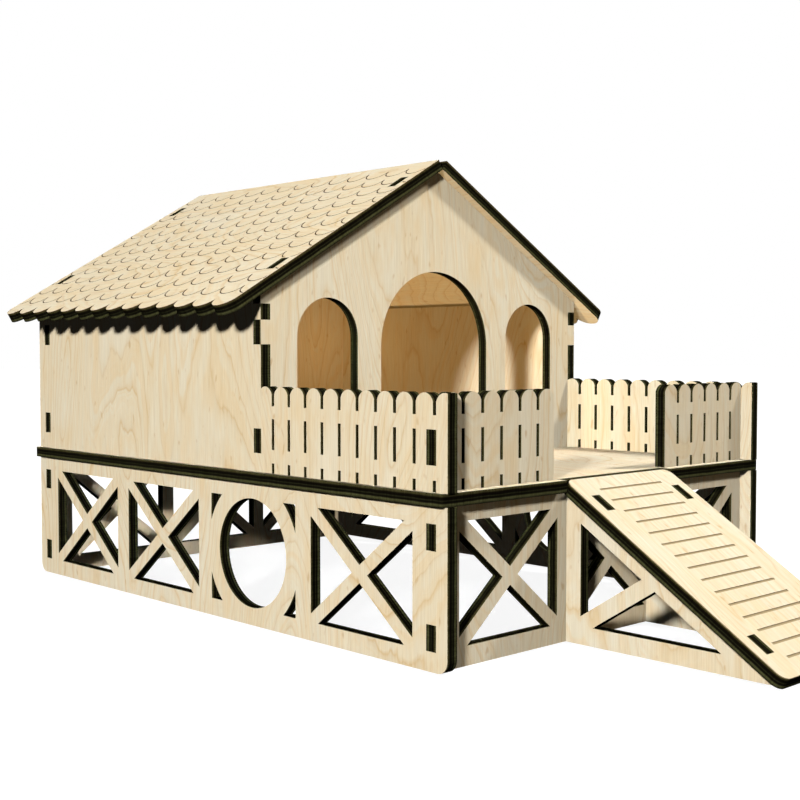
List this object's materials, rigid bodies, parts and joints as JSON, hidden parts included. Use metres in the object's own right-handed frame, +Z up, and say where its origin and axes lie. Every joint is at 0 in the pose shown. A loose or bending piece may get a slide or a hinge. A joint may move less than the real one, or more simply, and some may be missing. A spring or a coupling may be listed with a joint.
{
  "type": "rabbit hutch",
  "caption": "Plywood rabbit hutch: gabled house with an arched door and scaled lift-off roof, on a braced base with a picket-fenced deck and a removable ramp.",
  "frame": {"origin": "middle of the hutch's plan box, with the ramp, on the floor", "axes": "+Z up; +Y from the ramp towards the house's back wall; +X to the right as seen from the ramp"},
  "size_m": [0.4962, 0.7912, 0.4098],
  "materials": {
    "plywood": "bare pale birch plywood with dark laser-burnt edges"
  },
  "bodies": {
    "hutch": {"base_back_panel": "plywood", "base_front_panel": "plywood", "base_left_panel": "plywood", "base_right_panel": "plywood", "deck": "plywood", "front_fence_left": "plywood", "front_fence_right": "plywood", "house_back_wall": "plywood", "house_front_wall": "plywood", "house_left_side": "plywood", "house_right_side": "plywood"},
    "left_roof": {"roof_left": "plywood"},
    "right_roof": {"roof_right": "plywood"},
    "ramp": {"ramp_plank": "plywood", "ramp_left_side": "plywood", "ramp_right_side": "plywood"}
  },
  "joints": [
    {"name": "left_roof_lift", "type": "slide", "parent": "hutch", "child": "left_roof", "axis": [-0.5, 0, 0.866], "range_m": [0, 0.12]},
    {"name": "right_roof_lift", "type": "slide", "parent": "hutch", "child": "right_roof", "axis": [0.5, 0, 0.866], "range_m": [0, 0.12]},
    {"name": "ramp_pull", "type": "slide", "parent": "hutch", "child": "ramp", "axis": [0, -1, 0], "range_m": [0, 0.15]}
  ]
}
